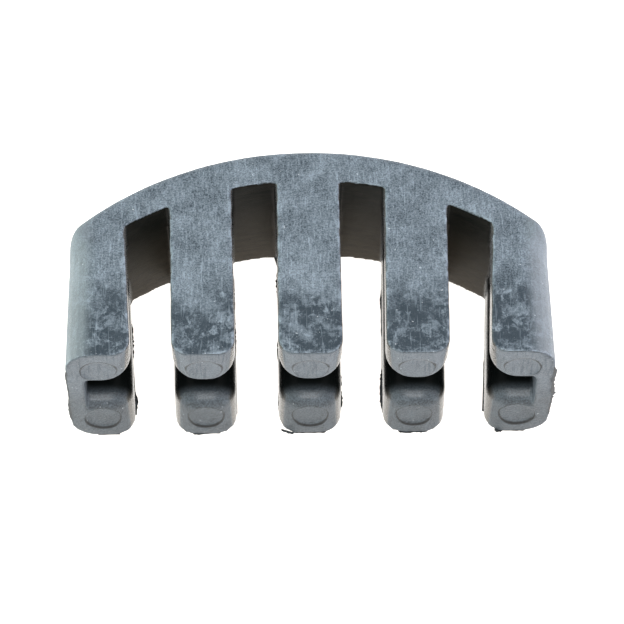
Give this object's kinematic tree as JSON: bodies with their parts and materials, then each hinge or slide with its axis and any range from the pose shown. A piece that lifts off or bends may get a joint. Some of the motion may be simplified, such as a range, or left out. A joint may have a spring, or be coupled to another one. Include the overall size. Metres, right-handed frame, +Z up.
{
  "type": "cello mute",
  "caption": "Moulded rubber practice mute for a cello: an arched comb that clips over the top of the bridge, with slots for the strings.",
  "frame": {"origin": "middle of the box in plan, on the surface that the mute lies on", "axes": "+X across the prongs, +Y from the prong tips to the arch, +Z up out of the front face, as the mute lies on its back face"},
  "size_m": [0.075, 0.0396, 0.0245],
  "materials": {
    "mute_rubber": "matte, with a pale bloom"
  },
  "bodies": {
    "root": {"mute_body": "mute_rubber"}
  },
  "joints": []
}
